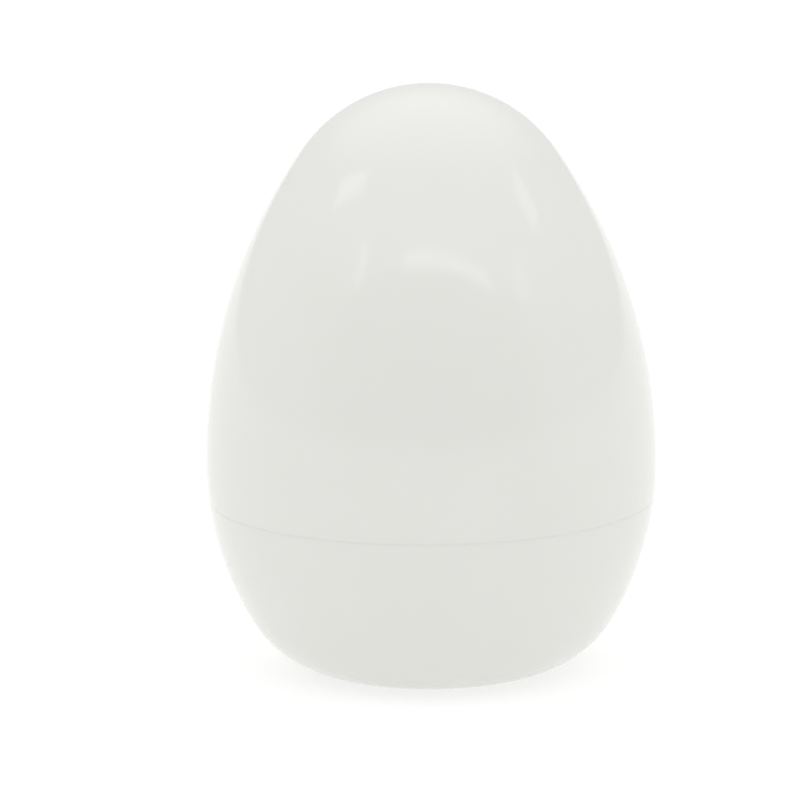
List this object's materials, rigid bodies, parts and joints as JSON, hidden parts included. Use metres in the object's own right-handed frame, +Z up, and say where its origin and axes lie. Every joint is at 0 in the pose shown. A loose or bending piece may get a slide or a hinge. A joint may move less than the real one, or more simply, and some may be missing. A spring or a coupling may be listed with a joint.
{
  "type": "kitchen timer",
  "caption": "Egg-shaped wind-up kitchen timer: plain glossy two-part shell, turning upper half, clockwork train and bell inside.",
  "frame": {"origin": "middle of the flat foot, on the table", "axes": "+Z up along the egg's axis; the plain side shown in the picture faces -Y; the pointer and minute marks are on the +Y side"},
  "size_m": [0.0494, 0.0494, 0.065],
  "materials": {
    "white_abs": "glossy moulded ABS",
    "grey_print": "pad-printed ink",
    "zinc_steel": "zinc-plated screw steel",
    "turned_steel": "turned steel",
    "pressed_steel": "blanked steel sheet",
    "spring_steel": "tempered spring steel",
    "bell_steel": "nickel-plated bell steel",
    "brass_plate": "rolled brass sheet",
    "brass_wheel": "blanked brass",
    "turned_brass": "turned brass"
  },
  "bodies": {
    "base": {"base_shell": "white_abs", "base_screws": "zinc_steel", "pointer_mark": "grey_print", "lower_plate": "brass_plate", "plate_pillars": "turned_steel", "pillar_screws": "zinc_steel", "upper_plate": "brass_plate", "centre_bush": "turned_brass", "bell": "bell_steel", "bell_washer": "zinc_steel", "bell_nut": "zinc_steel", "mainspring": "spring_steel", "spring_post": "turned_steel", "lever_post": "turned_steel", "lever_clip": "spring_steel", "hammer_spring": "spring_steel", "hammer_spring_post": "turned_steel"},
    "dial": {"dial_shell": "white_abs", "minute_marks": "grey_print", "main_shaft_rod": "turned_steel", "shaft_clip": "spring_steel", "ratchet_wheel": "turned_steel", "main_wheel": "brass_wheel", "click": "pressed_steel", "click_pin": "turned_steel", "click_spring": "spring_steel", "ring_wheel": "brass_wheel", "snail_cam": "brass_wheel"},
    "second": {"second_shaft": "turned_steel", "second_pinion": "turned_steel", "second_wheel": "brass_wheel"},
    "third": {"third_shaft": "turned_steel", "third_pinion": "turned_steel", "third_wheel": "brass_wheel"},
    "escape": {"escape_shaft": "turned_steel", "escape_pinion": "turned_steel", "escape_wheel": "brass_wheel"},
    "pallet": {"pallet_shaft": "turned_steel", "pallet_anchor": "pressed_steel", "pallet_pins": "turned_steel", "balance_bar": "turned_brass"},
    "star": {"star_shaft": "turned_steel", "star_pinion": "turned_steel", "star_wheel": "brass_wheel"},
    "hammer": {"hammer_shaft": "turned_steel", "hammer_tail": "pressed_steel", "hammer_arm": "pressed_steel", "hammer_head": "turned_brass"},
    "lever": {"stop_lever": "pressed_steel"}
  },
  "joints": [
    {"name": "dial_turn", "type": "hinge", "parent": "base", "child": "dial", "pos_m": [0, 0, 0], "axis": [0, 0, -1], "range_deg": [0, 150], "stiffness_Nm_per_rad": 0.002, "deforming": ["mainspring"]},
    {"name": "second_turn", "type": "hinge", "parent": "base", "child": "second", "pos_m": [0.00577, 0.01, 0], "axis": [0, 0, -1], "range_deg": [-900, 0]},
    {"name": "third_turn", "type": "hinge", "parent": "base", "child": "third", "pos_m": [-0.00092, 0.01244, 0], "axis": [0, 0, -1], "range_deg": [0, 4800]},
    {"name": "escape_turn", "type": "hinge", "parent": "base", "child": "escape", "pos_m": [-0.00704, 0.00959, 0], "axis": [0, 0, -1], "range_deg": [-24000, 0]},
    {"name": "star_turn", "type": "hinge", "parent": "base", "child": "star", "pos_m": [0.01, -0.00577, 0], "axis": [0, 0, -1], "range_deg": [-600, 0]},
    {"name": "lever_turn", "type": "hinge", "parent": "base", "child": "lever", "pos_m": [-0.00625, -0.01083, 0], "axis": [0, 0, -1], "range_deg": [0, 6.5]},
    {"name": "pallet_rock", "type": "hinge", "parent": "base", "child": "pallet", "pos_m": [-0.01054, 0.0051, 0], "axis": [0, 0, -1], "range_deg": [-5, 5]},
    {"name": "hammer_swing", "type": "hinge", "parent": "base", "child": "hammer", "pos_m": [0.01345, -0.00118, 0], "axis": [0, 0, 1], "range_deg": [-7, 0], "stiffness_Nm_per_rad": 0.0001, "deforming": ["hammer_spring"]}
  ],
  "couplings": [
    {"joint": "second_turn", "follows": "dial_turn", "ratio": -6},
    {"joint": "third_turn", "follows": "dial_turn", "ratio": 32},
    {"joint": "escape_turn", "follows": "dial_turn", "ratio": -160},
    {"joint": "star_turn", "follows": "dial_turn", "ratio": -4},
    {"joint": "lever_turn", "follows": "dial_turn", "ratio": 0.04336}
  ]
}
